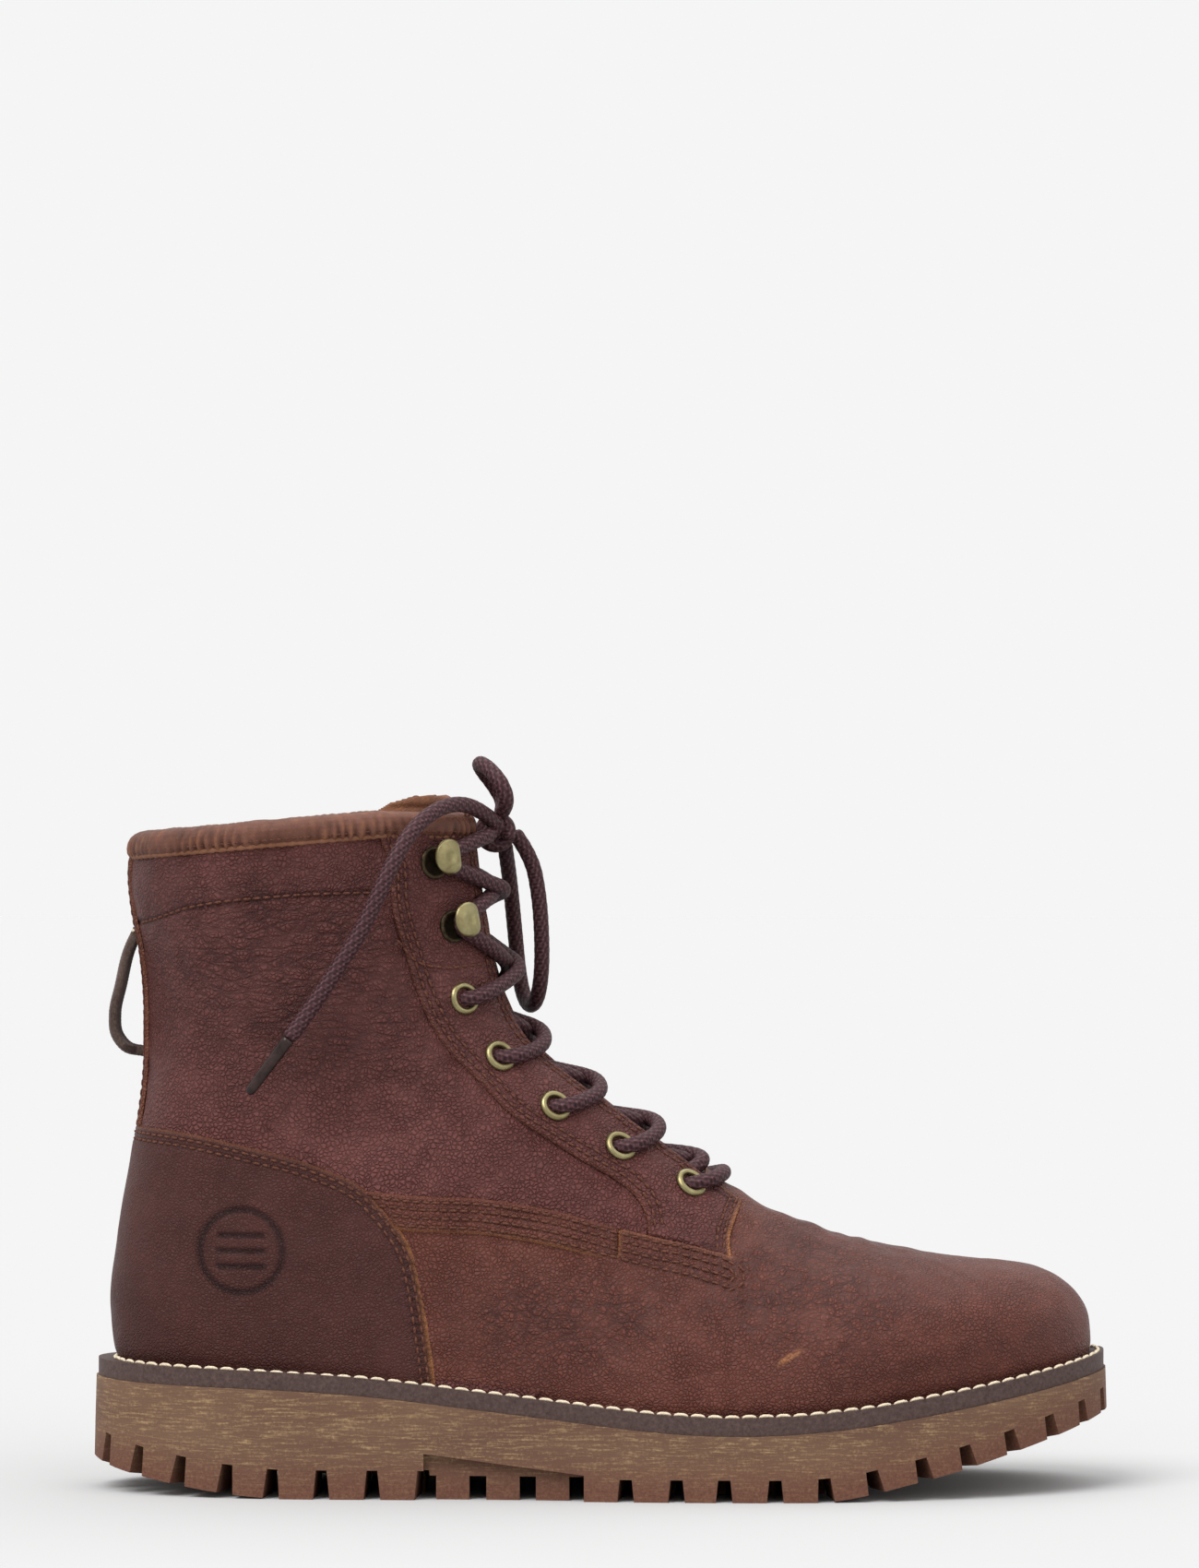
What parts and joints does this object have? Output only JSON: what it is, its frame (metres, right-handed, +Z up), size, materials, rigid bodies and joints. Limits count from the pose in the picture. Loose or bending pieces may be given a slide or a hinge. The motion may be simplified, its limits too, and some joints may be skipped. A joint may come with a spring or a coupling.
{
  "type": "insulated lace-up boot",
  "caption": "Ankle-high insulated leather lace-up boot with padded collar, lace hooks, welted lugged rubber sole and back pull loop, tied in a bow.",
  "frame": {"origin": "on the ground, at the middle of the sole's length and width", "axes": "+X to the toe, +Y to the inner side of the foot, +Z up"},
  "size_m": [0.3045, 0.1105, 0.219],
  "materials": {
    "sole_rubber": "matte, mottled olive brown",
    "welt_rubber": "matte",
    "cork": "matte granular",
    "steel": "plain",
    "welt_thread": "waxed thread",
    "board": "matte fibreboard",
    "footbed_fabric": "matte cloth over foam",
    "leather": "oiled, pebbled grain",
    "smooth_leather": "oiled, smoother grain",
    "collar_leather": "soft, gathered",
    "webbing": "ribbed webbing",
    "stiffener": "stiffened fabric",
    "foam": "open-cell foam",
    "warm_fibre": "felted fibre",
    "lining_cloth": "napped cloth",
    "lace": "woven, round",
    "aglet": "clear dark",
    "brass": "antique"
  },
  "bodies": {
    "boot": {"aglet_inner": "aglet", "aglet_outer": "aglet", "back_strap": "smooth_leather", "collar_binding": "collar_leather", "cork_filler": "cork", "cuff_foam": "foam", "eyelet_inner_1": "brass", "eyelet_inner_2": "brass", "eyelet_inner_3": "brass", "eyelet_inner_4": "brass", "eyelet_inner_5": "brass", "eyelet_outer_1": "brass", "eyelet_outer_2": "brass", "eyelet_outer_3": "brass", "eyelet_outer_4": "brass", "eyelet_outer_5": "brass", "eyestay_inner": "leather", "eyestay_outer": "leather", "heel_counter": "stiffener", "heel_foxing": "smooth_leather", "hook_inner_1": "brass", "hook_inner_2": "brass", "hook_outer_1": "brass", "hook_outer_2": "brass", "insole_board": "board", "lace_knot": "lace", "lace_loop_down": "lace", "lace_loop_up": "lace", "lace_tail_inner": "lace", "lace_tail_outer": "lace", "lacing": "lace", "lining_foot": "lining_cloth", "lining_shaft": "lining_cloth", "outsole": "sole_rubber", "quarter_inner": "leather", "quarter_outer": "leather", "shank": "steel", "side_band_inner": "smooth_leather", "side_band_outer": "smooth_leather", "toe_puff": "stiffener", "vamp": "smooth_leather", "warm_layer_foot": "warm_fibre", "warm_layer_shaft": "warm_fibre", "welt": "welt_rubber", "welt_stitching": "welt_thread"},
    "tongue": {"tongue_padding": "leather", "tongue_face": "leather"},
    "footbed": {"footbed": "footbed_fabric"},
    "pull_loop": {"pull_loop": "webbing"}
  },
  "joints": [
    {"name": "tongue_hinge", "type": "hinge", "parent": "boot", "child": "tongue", "pos_m": [0.043, 0, 0.084], "axis": [0, -1, 0], "range_deg": [0, 12]},
    {"name": "footbed_lift", "type": "hinge", "parent": "boot", "child": "footbed", "pos_m": [0.139, 0, 0.041], "axis": [0, 1, 0], "range_deg": [0, 4]},
    {"name": "pull_loop_swing", "type": "hinge", "parent": "boot", "child": "pull_loop", "pos_m": [-0.1385, 0, 0.147], "axis": [0, 0, 1], "range_deg": [-12, 12], "stiffness_Nm_per_rad": 0.02}
  ]
}
